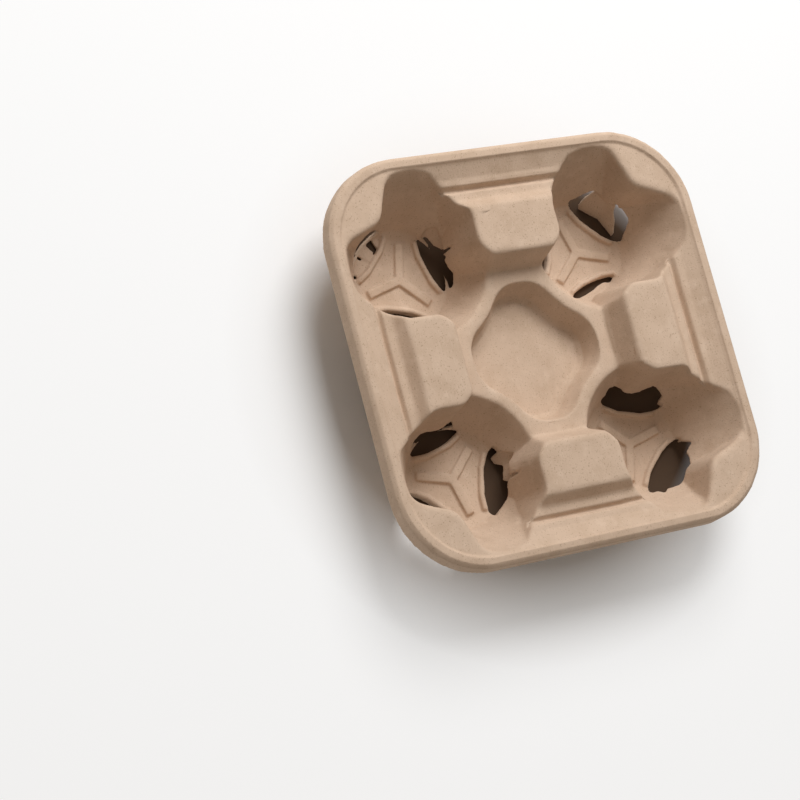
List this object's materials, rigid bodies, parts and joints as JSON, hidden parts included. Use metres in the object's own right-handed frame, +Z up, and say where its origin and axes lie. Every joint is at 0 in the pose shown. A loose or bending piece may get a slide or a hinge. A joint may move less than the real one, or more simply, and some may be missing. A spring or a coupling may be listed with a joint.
{
  "type": "moulded pulp cup carrier tray",
  "caption": "Square moulded-pulp tray that carries take-away cups, one in each corner well, with raised side pads and a shallow pocket in the middle.",
  "frame": {"origin": "middle of the tray, on the plane that its well floors stand on", "axes": "+Z up out of the openings, X and Y along the tray's sides"},
  "size_m": [0.2132, 0.2132, 0.045],
  "materials": {
    "pulp": "matt, unbleached moulded paper pulp with fine fibres"
  },
  "bodies": {
    "root": {"carrier_tray": "pulp"}
  },
  "joints": []
}
